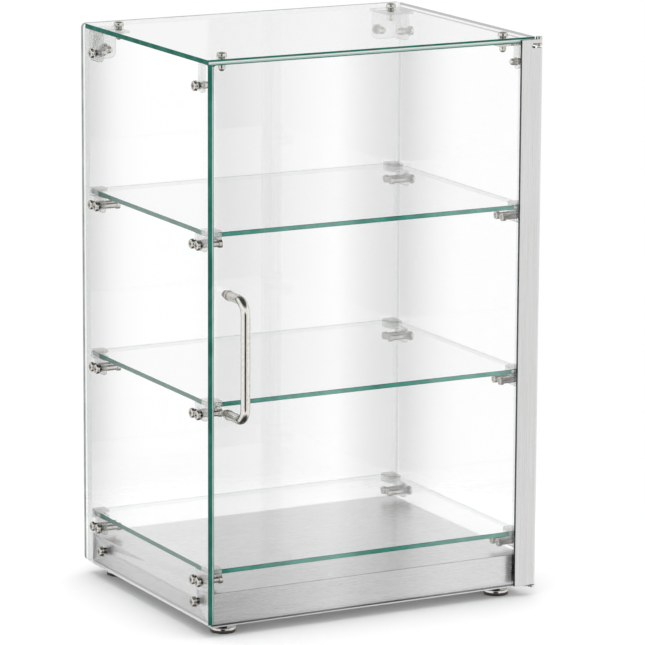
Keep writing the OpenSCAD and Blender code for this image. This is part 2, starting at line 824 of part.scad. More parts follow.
// Folded stile with a slot for the upper leaf, open to the right
module hinge_stile() color(steel_col) at_case() difference() {
    slot_h = slot_top_z - slot_bottom_z;
    slot_d = 4 * stile_roll_r;
    union() {
        translate([0, 0, stile_foot_z])
            linear_extrude(stile_top_z - stile_foot_z) stile_section();
        for (z = [stile_foot_z, stile_top_z - stile_t])
            translate([0, 0, z]) linear_extrude(stile_t) stile_cap();
    }
    translate([stile_right_x - slot_reach + slot_h / 2, front_y - slot_d / 2, slot_bottom_z]) {
        cube([slot_reach, slot_d, slot_h]);
        translate([0, 0, slot_h / 2]) rotate([-90, 0, 0]) cylinder(d = slot_h, h = slot_d);
    }
    translate([pivot_x, pivot_y, stile_foot_z - 1])
        cylinder(d = pivot_d + 2 * pivot_clearance, h = stile_t + 2);
    translate([pivot_x, pivot_y, stile_top_z - stile_t - 1])
        cylinder(d = pivot_d + 2 * eps, h = stile_t + 2);
}

// Bond between the stile and the face of the door glass
module stile_bond_strip() color(dark_col) at_case() {
    x = stile_left_x + stile_t + bond_w_gap;
    z = door_foot_z + bond_end_gap;
    translate([x, front_y - stile_proud + stile_t, z])
        cube([door_right_x - bond_w_gap - x, stile_proud - stile_t,
              slot_bottom_z - bond_end_gap - z]);
}

// Screw down through the stile's cap; its shank turns in the upper leaf
module top_pivot_screw() color(nickel_col) at_case()
    translate([pivot_x, pivot_y, leaf_bottom_z - 1]) {
        cylinder(d = pivot_d, h = stile_top_z - leaf_bottom_z + 1 + eps);
        translate([0, 0, stile_top_z - leaf_bottom_z + 1])
            cylinder(d = pivot_head_d, h = pivot_head_h);
    }

// ---------- handle ----------

// Upper half of the bar, about its middle: a leg, a quarter bend and half the grip
module handle_half() {
    leg_len = handle_reach - handle_bend_r;
    translate([0, -leg_len, handle_pitch / 2])
        rotate([-90, 0, 0]) cylinder(d = handle_d, h = leg_len);
    translate([0, -leg_len, handle_pitch / 2 - handle_bend_r])
        mirror([0, 1, 0])
            rotate([90, 0, 90])
                rotate_extrude(angle = 90)
                    translate([handle_bend_r, 0]) circle(d = handle_d);
    translate([0, -handle_reach, 0])
        cylinder(d = handle_d, h = handle_pitch / 2 - handle_bend_r);
}

module handle_bar() color(steel_col) at_case()
    translate([handle_x, front_y, handle_mid_z]) difference() {
        union() {
            handle_half();
            mirror([0, 0, 1]) handle_half();
        }
        for (z = [-handle_pitch / 2, handle_pitch / 2])
            translate([0, -handle_screw_depth, z])
                rotate([-90, 0, 0])
                    cylinder(d = handle_screw_d + thread_slack, h = handle_screw_depth + 1);
    }

module handle_collars() color(nickel_col) at_case()
    for (z = handle_leg_z)
        translate([handle_x, front_y, z])
            rotate([90, 0, 0]) difference() {
                cylinder(d = handle_collar_d, h = handle_collar_len);
                translate([0, 0, -1])
                    cylinder(d = handle_d + thread_slack, h = handle_collar_len + 2);
            }

module handle_screws() color(nickel_col) at_case()
    for (z = handle_leg_z)
        translate([handle_x, front_y + glass_t + handle_washer_t, z]) {
            rotate([-90, 0, 0]) cylinder(d = handle_screw_head_d, h = handle_screw_head_h);
            rotate([90, 0, 0])
                cylinder(d = handle_screw_d, h = glass_t + handle_washer_t + handle_screw_depth - 1);
        }

module handle_washers() color(clear_col) at_case()
    for (z = handle_leg_z)
        translate([handle_x, front_y + glass_t, z])
            rotate([-90, 0, 0]) difference() {
                cylinder(d = handle_washer_d, h = handle_washer_t);
                translate([0, 0, -1])
                    cylinder(d = handle_screw_d + screw_slack, h = handle_washer_t + 2);
            }

base_tray();
base_bottom_plate();
base_side_screws();
base_side_washers();
base_rear_screws();
base_rivet_nuts();
back_screw_washers();
left_side_glass();
right_side_glass();
back_glass();
top_glass();
upper_shelf_glass();
middle_shelf_glass();
lower_shelf_glass();
upper_front_left_clip();
upper_front_right_clip();
upper_rear_left_clip();
upper_rear_right_clip();
middle_front_left_clip();
middle_front_right_clip();
middle_rear_left_clip();
middle_rear_right_clip();
lower_front_left_clip();
lower_front_right_clip();
lower_rear_left_clip();
lower_rear_right_clip();
upper_clip_screws();
middle_clip_screws();
lower_clip_screws();
upper_clip_barrels();
middle_clip_barrels();
lower_clip_barrels();
front_left_connector();
front_right_connector();
rear_left_connector();
rear_right_connector();
top_corner_screws();
top_corner_washers();
top_corner_nuts();
side_corner_screws();
side_corner_washers();
side_corner_nuts();
back_corner_screws();
back_corner_nuts();
top_pivot_leaf();
bottom_pivot_pin();
bottom_pivot_washer();
foot_pads();
foot_discs();
foot_studs();
foot_nuts();
door_glass();
hinge_stile();
stile_bond_strip();
top_pivot_screw();
handle_bar();
handle_collars();
handle_screws();
handle_washers();
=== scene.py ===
"""Glass display showcase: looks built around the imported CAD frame.

Metres, +Z up, door side towards -Y. Each visible piece is a refined copy of its CAD
solid, with rounded edges.
"""

import math

import bmesh
import bpy
from mathutils import Matrix, Vector


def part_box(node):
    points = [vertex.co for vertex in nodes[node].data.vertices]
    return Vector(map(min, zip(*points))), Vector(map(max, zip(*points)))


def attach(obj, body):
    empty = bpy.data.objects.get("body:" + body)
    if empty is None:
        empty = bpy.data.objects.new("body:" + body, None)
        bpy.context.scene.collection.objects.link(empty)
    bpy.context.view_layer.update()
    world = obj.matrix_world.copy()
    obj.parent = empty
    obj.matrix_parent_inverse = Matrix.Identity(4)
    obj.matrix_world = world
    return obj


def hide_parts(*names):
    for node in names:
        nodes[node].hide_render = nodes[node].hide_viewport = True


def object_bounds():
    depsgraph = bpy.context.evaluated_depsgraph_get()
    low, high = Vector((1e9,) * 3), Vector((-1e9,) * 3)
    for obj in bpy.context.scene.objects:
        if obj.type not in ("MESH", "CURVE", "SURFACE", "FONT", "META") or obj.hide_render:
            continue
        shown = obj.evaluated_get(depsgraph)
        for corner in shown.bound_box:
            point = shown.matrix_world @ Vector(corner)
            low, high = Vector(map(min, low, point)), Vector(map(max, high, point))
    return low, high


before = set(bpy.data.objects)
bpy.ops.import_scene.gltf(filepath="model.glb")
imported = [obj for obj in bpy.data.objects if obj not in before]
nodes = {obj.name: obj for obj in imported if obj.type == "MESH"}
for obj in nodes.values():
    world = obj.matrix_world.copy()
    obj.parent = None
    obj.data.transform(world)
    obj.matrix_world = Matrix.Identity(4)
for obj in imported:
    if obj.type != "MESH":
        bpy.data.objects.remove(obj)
cad_low, cad_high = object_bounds()
scene = bpy.context.scene

# The photograph's viewing direction, in degrees, and the camera's distance and lens
VIEW_AZIMUTH = -27.815
VIEW_ELEVATION = 11.910
VIEW_ROLL = 0.271
VIEW_DISTANCE = 4.868
LENS_MM = 248.9
# The point looked at, from the middle of the object's box
AIM_FROM_MIDDLE = Vector((0.0090, 0.0019, -0.0139))

# Edge rounding of the refined solids, in metres
GLASS_ARRIS = 0.0005
SHEET_BEND = 0.0009
FINE_EDGE = 0.00015
PLASTIC_EDGE = 0.0003
STILE_EDGE = 0.0003

# Facets that turn by less than the first are joined, edges that turn by more than the
# second are rounded, and those that turn by more than the third are shaded sharp
FLAT_LIMIT = math.radians(0.8)
SHARP_LIMIT = math.radians(33)
SHADE_SHARP_LIMIT = math.radians(50)

# How closely a face normal lies along an axis to count as facing that way
FACES_AXIS = 0.9

# Material slots of a pane
FACE, EDGE_BODY, EDGE_ARRIS, EDGE_FRONT, EDGE_SIDE, EDGE_LOW_ARRIS, EDGE_LEVEL = range(7)


# ---------- shader graph helpers ----------


def add(tree, kind, values=None, **settings):
    """Adds one shader node. values maps an input's name or index to a value or a socket."""
    made = tree.nodes.new(kind)
    for key, value in settings.items():
        setattr(made, key, value)
    for key, value in (values or {}).items():
        if isinstance(value, bpy.types.NodeSocket):
            tree.links.new(value, made.inputs[key])
        else:
            made.inputs[key].default_value = value
    return made


def math_node(tree, operation, *values):
    """The output of a Math node on up to three values or sockets."""
    return add(tree, "ShaderNodeMath", dict(enumerate(values)), operation=operation).outputs[0]


def map_range(tree, value, low, high, to_low, to_high):
    """value taken from one range to another, with soft ends."""
    made = add(
        tree,
        "ShaderNodeMapRange",
        {"Value": value, "From Min": low, "From Max": high, "To Min": to_low, "To Max": to_high},
        interpolation_type="SMOOTHSTEP",
    )
    return made.outputs["Result"]


def mix_colour(tree, factor, first, second):
    """A colour between two colours or sockets."""
    made = add(tree, "ShaderNodeMix", data_type="RGBA")
    # The RGBA sockets of the Mix node are its factor, its A and B colours and its result
    sockets = (made.inputs[0], made.inputs[6], made.inputs[7])
    for socket, value in zip(sockets, (factor, first, second)):
        if isinstance(value, bpy.types.NodeSocket):
            tree.links.new(value, socket)
        else:
            socket.default_value = value
    return made.outputs[2]


def noise(tree, scale, stretch=(1, 1, 1), detail=3.0, roughness=0.5):
    """Noise in the object's own coordinates. A small stretch draws it out along that axis."""
    coords = add(tree, "ShaderNodeTexCoord").outputs["Object"]
    placed = add(tree, "ShaderNodeMapping", {"Vector": coords, "Scale": stretch}).outputs[0]
    made = add(
        tree,
        "ShaderNodeTexNoise",
        {"Vector": placed, "Scale": scale, "Detail": detail, "Roughness": roughness},
    )
    return made.outputs["Fac"]


def bump(tree, height, distance, strength):
    """A bump normal. distance is the height in metres that a height of 1 stands for."""
    values = {"Height": height, "Distance": distance, "Strength": strength}
    return add(tree, "ShaderNodeBump", values).outputs["Normal"]


def new_material(name):
    """An empty node material and its tree, with the output node alone in it."""
    material = bpy.data.materials.new(name)
    material.use_nodes = True
    tree = material.node_tree
    tree.nodes.clear()
    add(tree, "ShaderNodeOutputMaterial")
    return material, tree


def output(tree, shader):
    """Links a shader to the material's surface."""
    tree.links.new(shader, tree.nodes["Material Output"].inputs["Surface"])


# ---------- materials ----------

# One glossy event stands for both faces of a pane, so its index is above that of glass
PANE_IOR = 2.15
PANE_TINT = (0.9985, 1.0, 0.9992, 1)
GLASS_IOR = 1.52
EDGE_SPECULAR = 0.02
EDGE_ROUGHNESS = 0.16
ARRIS_ROUGHNESS = 0.25
WHITE = (1, 1, 1, 1)

# Body colours of the glass edges, darker and lighter
DEEP_GREEN = (0.010, 0.095, 0.072, 1)
LIGHT_GREEN = (0.026, 0.15, 0.115, 1)
# Painted light: lighter, grey and pale copies of the same green glass edge, for how light leaves the
# shelves' long edges, the back pane, some level edges and the door's sides
LIT_SHELF_GREEN_DEEP = (0.03, 0.20, 0.15, 1)
LIT_SHELF_GREEN_LIGHT = (0.06, 0.29, 0.225, 1)
DEEP_PAINTED_GREY = (0.22, 0.245, 0.235, 1)
LIGHT_PAINTED_GREY = (0.32, 0.345, 0.335, 1)
DEEP_PAINTED_PALE = (0.36, 0.39, 0.375, 1)
LIGHT_PAINTED_PALE = (0.50, 0.53, 0.51, 1)
DEEP_ARRIS = (0.02, 0.07, 0.058, 1)
LIGHT_ARRIS = (0.05, 0.12, 0.10, 1)
LIT_BODY = (0.30, 0.42, 0.38, 1)
LIT_LINE = (0.62, 0.64, 0.62, 1)

# Tints of what is seen through an edge from inside its pane: all but the clear one are painted shade
CLEAR_INSIDE = (0.96, 0.965, 0.96, 1)
PAINTED_PALE_INSIDE = (0.88, 0.885, 0.88, 1)
PAINTED_PALE_ARRIS_INSIDE = (0.84, 0.85, 0.84, 1)
PAINTED_GREY_INSIDE = (0.42, 0.45, 0.44, 1)
PAINTED_DARK_INSIDE = (0.20, 0.21, 0.205, 1)


def glossy_front(tree, index):
    """Fresnel reflectance on front faces only, so that each sheet reflects once."""
    fresnel = add(tree, "ShaderNodeFresnel", {"IOR": index}).outputs[0]
    back = add(tree, "ShaderNodeNewGeometry").outputs["Backfacing"]
    return math_node(tree, "MULTIPLY", fresnel, math_node(tree, "SUBTRACT", 1.0, back))


def clear_glass():
    """The big faces of a pane: clear, faintly green, with a trace of wiped haze."""
    material, tree = new_material("clear_glass")
    clear = add(tree, "ShaderNodeBsdfTransparent", {"Color": PANE_TINT}).outputs[0]
    wiped = noise(tree, 9.0, (1, 1, 0.35), 4.0)
    gloss_rough = map_range(tree, wiped, 0.35, 0.75, 0.0, 0.035)
    gloss = add(
        tree, "ShaderNodeBsdfGlossy", {"Color": WHITE, "Roughness": gloss_rough}
    ).outputs[0]
    body = add(tree, "ShaderNodeMixShader", {0: glossy_front(tree, PANE_IOR), 1: clear, 2: gloss})
    haze = add(tree, "ShaderNodeBsdfDiffuse", {"Color": (0.9, 0.95, 0.93, 1)}).outputs[0]
    haze_amount = map_range(tree, wiped, 0.5, 0.8, 0.0, 0.008)
    shaded = add(tree, "ShaderNodeMixShader", {0: haze_amount, 1: body.outputs[0], 2: haze})
    output(tree, shaded.outputs[0])
    return material


def glass_edge(
    name, deep, light, inside_tint, roughness=EDGE_ROUGHNESS, bright_line=None, dark_line=None
):
    """Polished edge of a pane: green body colour with streaks along the grinding.

    Seen from inside the pane, an edge only tints what lies behind it. bright_line is
    (bottom, top) of a level edge whose lower half is painted as lit through from below,
    and dark_line that of one whose upper part is painted dark as seen from inside the pane.
    """
    material, tree = new_material(name)
    streak = noise(tree, 55.0, (1, 1, 1), 5.0, 0.6)
    body = mix_colour(tree, map_range(tree, streak, 0.3, 0.7, 0.0, 1.0), deep, light)
    if bright_line:
        bottom, top = bright_line
        coords = add(tree, "ShaderNodeTexCoord").outputs["Object"]
        height = add(tree, "ShaderNodeSeparateXYZ", {0: coords}).outputs["Z"]
        middle = (bottom + top) / 2
        half = (top - bottom) / 2
        lower = map_range(tree, height, middle - 0.1 * half, middle + 0.3 * half, 1.0, 0.0)
        body = mix_colour(tree, lower, body, LIT_BODY)
        line = map_range(tree, height, middle - 0.5 * half, middle - 0.3 * half, 0.0, 1.0)
        line = math_node(tree, "MULTIPLY", line, lower)
        body = mix_colour(tree, line, body, LIT_LINE)
    grind = noise(tree, 900.0, (1, 1, 1), 2.0)
    shader = add(
        tree,
        "ShaderNodeBsdfPrincipled",
        {
            "Base Color": body,
            "Roughness": map_range(tree, grind, 0.3, 0.7, roughness, roughness + 0.15),
            "IOR": GLASS_IOR,
            "Specular IOR Level": EDGE_SPECULAR,
            "Normal": bump(tree, grind, 0.00002, 0.5),
        },
    )
    # Painted shade: the edge's upper part darkens what is seen through it from inside the pane
    if dark_line:
        bottom, top = dark_line
        coords = add(tree, "ShaderNodeTexCoord").outputs["Object"]
        height = add(tree, "ShaderNodeSeparateXYZ", {0: coords}).outputs["Z"]
        line_start = top - 0.62 * (top - bottom)
        line_full = top - 0.50 * (top - bottom)
        upper = map_range(tree, height, line_start, line_full, 0.0, 1.0)
        inside_tint = mix_colour(tree, upper, CLEAR_INSIDE, inside_tint)
    inside = add(tree, "ShaderNodeBsdfTransparent", {"Color": inside_tint}).outputs[0]
    back = add(tree, "ShaderNodeNewGeometry").outputs["Backfacing"]
    shaded = add(tree, "ShaderNodeMixShader", {0: back, 1: shader.outputs[0], 2: inside})
    output(tree, shaded.outputs[0])
    return material


# Painted shade of plated metal where it turns away, and the clear plastic's body and its painted dark
# outline
PAINTED_RIM_SHADE = (0.14, 0.13, 0.11, 1)
PLASTIC_BODY = (0.80, 0.81, 0.80, 1)
PAINTED_OUTLINE_SHADE = (0.15, 0.145, 0.12, 1)
PLASTIC_IOR = 1.5


def brushed_steel(name, grain, tone, roughness, contrast):
    """Stainless sheet brushed along one axis: grain is the noise stretch per axis."""
    material, tree = new_material(name)
    fine = noise(tree, 1.0, grain, 6.0, 0.75)
    broad = noise(tree, 7.0, (1, 1, 1), 3.0)
    shade = math_node(tree, "ADD", math_node(tree, "MULTIPLY", fine, 0.75),
                      math_node(tree, "MULTIPLY", broad, 0.25))
    dark = [c * (1 - contrast) for c in tone] + [1]
    light = [min(1.0, c * (1 + contrast * 0.6)) for c in tone] + [1]
    colour = mix_colour(tree, map_range(tree, shade, 0.32, 0.68, 0.0, 1.0), dark, light)
    shader = add(
        tree,
        "ShaderNodeBsdfPrincipled",
        {
            "Base Color": colour,
            "Metallic": 1.0,
            "Roughness": map_range(tree, fine, 0.3, 0.7, roughness - 0.05, roughness + 0.07),
            "Normal": bump(tree, fine, 0.00002, 0.25),
        },
    )
    output(tree, shader.outputs[0])
    return material


def nickel(name, tone, roughness):
    """Plated or satin metal: turning marks, small stains, and painted shade where it turns away."""
    material, tree = new_material(name)
    stain = noise(tree, 260.0, (1, 1, 1), 4.0, 0.6)
    warm = (tone[0] * 0.78, tone[1] * 0.72, tone[2] * 0.63, 1)
    colour = mix_colour(tree, map_range(tree, stain, 0.45, 0.8, 0.0, 0.8), (*tone, 1), warm)
    # Painted shade: the colour darkens towards the rims, where the surface turns away
    facing = add(tree, "ShaderNodeLayerWeight", {"Blend": 0.4}).outputs["Facing"]
    painted_rim_amount = map_range(tree, facing, 0.25, 0.85, 0.0, 0.75)
    colour = mix_colour(tree, painted_rim_amount, colour, PAINTED_RIM_SHADE)
    marks = noise(tree, 2600.0, (1, 1, 1), 2.0)
    shader = add(
        tree,
        "ShaderNodeBsdfPrincipled",
        {
            "Base Color": colour,
            "Metallic": 1.0,
            "Roughness": map_range(tree, stain, 0.3, 0.8, roughness, roughness + 0.18),
            "Normal": bump(tree, marks, 0.000012, 0.4),
        },
    )
    output(tree, shader.outputs[0])
    return material


def clear_plastic(name, tint, milk):
    """Moulded plastic: see-through, milky to a share, with painted shade at its outline."""
    material, tree = new_material(name)
    flow = noise(tree, 120.0, (1, 1, 1), 3.0)
    clear = add(tree, "ShaderNodeBsdfTransparent", {"Color": tint}).outputs[0]
    # Painted shade: the body colour goes dark towards the outline, where the surface turns away
    edge = add(tree, "ShaderNodeLayerWeight", {"Blend": 0.25}).outputs["Facing"]
    outline = map_range(tree, edge, 0.10, 0.75, 0.0, 1.0)
    colour = mix_colour(tree, outline, PLASTIC_BODY, PAINTED_OUTLINE_SHADE)
    body = add(
        tree,
        "ShaderNodeBsdfPrincipled",
        {"Base Color": colour, "Roughness": 0.3, "Normal": bump(tree, flow, 0.0001, 0.3)},
    ).outputs[0]
    share = math_node(tree, "ADD", math_node(tree, "MULTIPLY", outline, 0.6),
                      map_range(tree, flow, 0.3, 0.7, milk * 0.7, milk * 1.3))
    cloudy = add(tree, "ShaderNodeMixShader", {0: share, 1: clear, 2: body}).outputs[0]
    rough = map_range(tree, flow, 0.3, 0.7, 0.04, 0.12)
    gloss = add(tree, "ShaderNodeBsdfGlossy", {"Color": WHITE, "Roughness": rough}).outputs[0]
    front = glossy_front(tree, PLASTIC_IOR)
    shaded = add(tree, "ShaderNodeMixShader", {0: front, 1: cloudy, 2: gloss})
    output(tree, shaded.outputs[0])
    return material


def matt(name, dark, light, roughness, grain_scale, depth):
    """Rubber or oxide-black steel: mottled tone over a fine grain."""
    material, tree = new_material(name)
    grain = noise(tree, grain_scale, (1, 1, 1), 4.0, 0.6)
    shader = add(
        tree,
        "ShaderNodeBsdfPrincipled",
        {
            "Base Color": mix_colour(tree, map_range(tree, grain, 0.3, 0.7, 0.0, 1.0), dark, light),
            "Roughness": map_range(tree, grain, 0.3, 0.7, roughness - 0.08, roughness + 0.08),
            "Normal": bump(tree, grain, depth, 0.6),
        },
    )
    output(tree, shader.outputs[0])
    return material


TOP_LEVELS = [corner.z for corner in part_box("top_glass")]

GLASS = clear_glass()
EDGE = glass_edge("green_glass_edge", DEEP_GREEN, LIGHT_GREEN, CLEAR_INSIDE)
# Painted light: the shelf, grey and pale edges are copies of the same green edge, painted for the light
# that leaves them
PAINTED_LIT_SHELF_EDGE = glass_edge("painted_lit_shelf_edge", LIT_SHELF_GREEN_DEEP, LIT_SHELF_GREEN_LIGHT, CLEAR_INSIDE)
PAINTED_GREY_EDGE = glass_edge("painted_grey_glass_edge", DEEP_PAINTED_GREY, LIGHT_PAINTED_GREY, PAINTED_PALE_INSIDE)
PAINTED_PALE_DOOR_EDGE = glass_edge("painted_pale_door_edge", DEEP_PAINTED_PALE, LIGHT_PAINTED_PALE, CLEAR_INSIDE)
# Painted shade: the top's side edges darken what is seen through their upper part from inside
TOP_SIDE_EDGE = glass_edge(
    "green_top_edge", DEEP_GREEN, LIGHT_GREEN, PAINTED_DARK_INSIDE, dark_line=TOP_LEVELS
)
TOP_FRONT_EDGE = glass_edge(
    "lit_top_edge", DEEP_GREEN, LIGHT_GREEN, CLEAR_INSIDE, bright_line=TOP_LEVELS
)
LOW_ARRIS = glass_edge("low_glass_arris", DEEP_ARRIS, LIGHT_ARRIS, CLEAR_INSIDE, ARRIS_ROUGHNESS)
# Painted shade: these arrises tint what is seen through them grey or pale from inside
ARRIS = glass_edge("dark_glass_arris", DEEP_ARRIS, LIGHT_ARRIS, PAINTED_GREY_INSIDE, ARRIS_ROUGHNESS)
PALE_ARRIS = glass_edge(
    "pale_glass_arris", DEEP_ARRIS, LIGHT_ARRIS, PAINTED_PALE_ARRIS_INSIDE, ARRIS_ROUGHNESS
)
# Noise stretches that draw the grain out along X and along Z
GRAIN_X = (14, 1500, 1500)
GRAIN_Z = (1500, 1500, 9)
BASE_STEEL = brushed_steel("base_steel_brushed", GRAIN_X, (0.76, 0.76, 0.76), 0.28, 0.03)
STILE_STEEL = brushed_steel("stile_steel_brushed", GRAIN_Z, (0.74, 0.74, 0.735), 0.30, 0.10)
HANDLE_STEEL = nickel("handle_steel_satin", (0.80, 0.785, 0.745), 0.09)
NICKEL = nickel("bright_nickel", (0.72, 0.695, 0.65), 0.08)
# Painted shade: a dark copy of the brushed steel for the stile's left return
PAINTED_SHADE_STEEL = brushed_steel("stile_return_painted_shade", GRAIN_Z, (0.10, 0.10, 0.10), 0.4, 0.3)
BLACK_STEEL = matt("black_oxide", (0.02, 0.02, 0.022, 1), (0.05, 0.05, 0.052, 1), 0.42, 500.0, 0.00003)
RUBBER = matt("foot_rubber_matt", (0.012, 0.012, 0.012, 1), (0.03, 0.03, 0.03, 1), 0.62, 700.0, 0.00005)
PLASTIC = clear_plastic("clear_clip_plastic", (0.93, 0.935, 0.93, 1), 0.10)
NYLON = clear_plastic("washer_nylon", (0.88, 0.88, 0.86, 1), 0.40)


# ---------- mesh helpers ----------


def cad_bmesh(node):
    """A CAD node's own solid as a clean bmesh, with its flat facets joined."""
    mesh = bmesh.new()
    mesh.from_mesh(nodes[node].data)
    bmesh.ops.remove_doubles(mesh, verts=mesh.verts, dist=1e-6)
    bmesh.ops.dissolve_limit(
        mesh, angle_limit=FLAT_LIMIT, verts=mesh.verts[:], edges=mesh.edges[:]
    )
    return mesh


def sharp_edges(mesh, wanted=None):
    """Edges that turn by more than the sharp limit and pass the wanted test."""
    return [
        e for e in mesh.edges
        if len(e.link_faces) == 2
        and e.calc_face_angle(0) > SHARP_LIMIT
        and (wanted is None or wanted(e))
    ]


def round_edges(mesh, edges, width, segments):
    """Rounds edges by a width in metres. One segment leaves a flat arris."""
    bmesh.ops.bevel(
        mesh, geom=edges, offset=width, segments=segments, profile=0.5,
        affect="EDGES", clamp_overlap=True, material=-1,
    )


def finish_piece(mesh, name, body, materials):
    """Turns a bmesh into a smooth shaded piece that rides on a body."""
    bmesh.ops.recalc_face_normals(mesh, faces=mesh.faces)
    data = bpy.data.meshes.new(name)
    mesh.to_mesh(data)
    mesh.free()
    data.shade_smooth()
    data.set_sharp_from_angle(angle=SHADE_SHARP_LIMIT)
    for material in materials:
        data.materials.append(material)
    piece = bpy.data.objects.new(name, data)
    scene.collection.objects.link(piece)
    weighted = piece.modifiers.new("weighted_normals", "WEIGHTED_NORMAL")
    weighted.keep_sharp = True
    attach(piece, body)
    return piece


def refined(node, body, material, width=FINE_EDGE, segments=2):
    """A copy of a CAD solid with all its sharp edges rounded, in place of that node."""
    mesh = cad_bmesh(node)
    round_edges(mesh, sharp_edges(mesh), width, segments)
    piece = finish_piece(mesh, node + "_finished", body, [material])
    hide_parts(node)
    return piece


def pane_face_slot(face, thin):
    """The material slot of one face of a pane that is thin along that axis."""
    normal = face.normal
    across = abs(normal[thin])
    if across >= 0.95:
        return FACE
    if across >= 0.1:
        # The lower arris of a level pane is hidden behind its upper one by refraction
        hidden = thin == 2 and normal.z < 0
        return EDGE_LOW_ARRIS if hidden else EDGE_ARRIS
    if abs(normal.z) > FACES_AXIS:
        return EDGE_LEVEL
    if abs(normal.x) > FACES_AXIS:
        return EDGE_SIDE
    if abs(normal.y) > FACES_AXIS:
        return EDGE_FRONT
    return EDGE_BODY


def pane(node, body, edge, front_edge=None, side_edge=None, level_edge=None, arris=ARRIS):
    """A glass pane: clear faces, coloured edges and dark ground arrises."""
    low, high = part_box(node)
    size = high - low
    thin = min(range(3), key=lambda axis: size[axis])
    mesh = cad_bmesh(node)
    round_edges(mesh, sharp_edges(mesh), GLASS_ARRIS, 1)
    mesh.normal_update()
    for face in mesh.faces:
        face.material_index = pane_face_slot(face, thin)
    slots = [
        GLASS, edge, arris, front_edge or edge, side_edge or edge, LOW_ARRIS, level_edge or edge
    ]
    piece = finish_piece(mesh, node + "_pane", body, slots)
    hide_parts(node)
    return piece


# ---------- pieces ----------


def make_panes():
    """All the glass, with edges as the light leaves them: green, grey or pale."""
    pane("left_side_glass", "cabinet", EDGE)
    pane("right_side_glass", "cabinet", EDGE, level_edge=PAINTED_GREY_EDGE, arris=PALE_ARRIS)
    pane("top_glass", "cabinet", EDGE, TOP_FRONT_EDGE, TOP_SIDE_EDGE)
    for node in ("upper_shelf_glass", "middle_shelf_glass", "lower_shelf_glass"):
        pane(node, "cabinet", EDGE, PAINTED_LIT_SHELF_EDGE)
    pane("back_glass", "cabinet", PAINTED_GREY_EDGE, arris=PALE_ARRIS)
    pane("door_glass", "door", EDGE, side_edge=PAINTED_PALE_DOOR_EDGE)


def on_box_edge(vert, low, high):
    """True where a vertex lies on at least two of the box's planes."""
    near = 1e-5
    hits = sum(
        1 for axis in range(3)
        if abs(vert.co[axis] - low[axis]) < near or abs(vert.co[axis] - high[axis]) < near
    )
    return hits >= 2


def make_base():
    """The folded tray, with bend radii on its outer folds, and the plate under it."""
    low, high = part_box("base_tray")
    mesh = cad_bmesh("base_tray")
    folds = sharp_edges(mesh, lambda e: all(on_box_edge(v, low, high) for v in e.verts))
    round_edges(mesh, folds, SHEET_BEND, 3)
    tray = finish_piece(mesh, "base_tray_folded", "cabinet", [BASE_STEEL])
    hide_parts("base_tray")
    refined("base_bottom_plate", "cabinet", BASE_STEEL)


def make_plastic():
    """Shelf clips, corner connectors and washers."""
    for level in ("upper", "middle", "lower"):
        for place in ("front_left", "front_right", "rear_left", "rear_right"):
            refined(f"{level}_{place}_clip", "cabinet", PLASTIC, PLASTIC_EDGE)
    for place in ("front_left", "front_right", "rear_left", "rear_right"):
        refined(f"{place}_connector", "cabinet", PLASTIC, PLASTIC_EDGE)
    for node in ("top_corner_washers", "side_corner_washers", "back_screw_washers"):
        refined(node, "cabinet", NYLON)
    refined("handle_washers", "door", NYLON)
    refined("bottom_pivot_washer", "cabinet", BLACK_STEEL)


def make_hardware():
    """Screws, nuts, pivots and feet."""
    for node in (
        "base_side_screws", "base_side_washers", "base_rear_screws", "base_rivet_nuts",
        "upper_clip_screws", "middle_clip_screws", "lower_clip_screws",
        "upper_clip_barrels", "middle_clip_barrels", "lower_clip_barrels",
        "top_corner_screws", "top_corner_nuts", "side_corner_screws", "side_corner_nuts",
        "back_corner_screws", "back_corner_nuts", "bottom_pivot_pin",
        "foot_discs", "foot_nuts",
    ):
        refined(node, "cabinet", NICKEL)
    for node in ("top_pivot_screw", "handle_collars", "handle_screws"):
        refined(node, "door", NICKEL)
    refined("top_pivot_leaf", "cabinet", NICKEL)
    refined("foot_pads", "cabinet", RUBBER)
    refined("foot_studs", "cabinet", BLACK_STEEL)


def make_stile():
    """The folded stile: brushed outside, with painted shade along the return at its left."""
    mesh = cad_bmesh("hinge_stile")
    round_edges(mesh, sharp_edges(mesh), STILE_EDGE, 2)
    mesh.normal_update()
    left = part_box("hinge_stile")[0].x
    near = 0.0002
    painted_shade_slot = 1
    for face in mesh.faces:
        if face.normal.x < -FACES_AXIS and abs(face.calc_center_median().x - left) < near:
            face.material_index = painted_shade_slot
    piece = finish_piece(mesh, "hinge_stile_folded", "door", [STILE_STEEL, PAINTED_SHADE_STEEL])
    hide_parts("hinge_stile")


def make_door_steel():
    """The stile, the strip that bonds it to the door and the handle."""
    make_stile()
    refined("stile_bond_strip", "door", BLACK_STEEL)
    refined("handle_bar", "door", HANDLE_STEEL)


# ---------- stage ----------


def view_axes():
    """The camera's right, up and back directions."""
    a, e, roll = (math.radians(v) for v in (VIEW_AZIMUTH, VIEW_ELEVATION, VIEW_ROLL))
    right = Vector((math.cos(a), math.sin(a), 0))
    back = Vector((math.sin(a) * math.cos(e), -math.cos(a) * math.cos(e), math.sin(e)))
    up = back.cross(right)
    return (
        right * math.cos(roll) + up * math.sin(roll),
        up * math.cos(roll) - right * math.sin(roll),
        back,
    )


def camera_place():
    """The photograph's viewpoint."""
    _, _, back = view_axes()
    return (cad_low + cad_high) / 2 + AIM_FROM_MIDDLE + back * VIEW_DISTANCE


def make_camera():
    """The camera at the photograph's angle, with its roll and lens."""
    right, up, back = view_axes()
    data = bpy.data.cameras.new("camera")
    data.lens = LENS_MM
    data.sensor_width = 36.0
    data.clip_end = 100.0
    camera = bpy.data.objects.new("camera", data)
    scene.collection.objects.link(camera)
    placed = Matrix((right, up, back)).transposed().to_4x4()
    placed.translation = camera_place()
    camera.matrix_world = placed
    scene.camera = camera


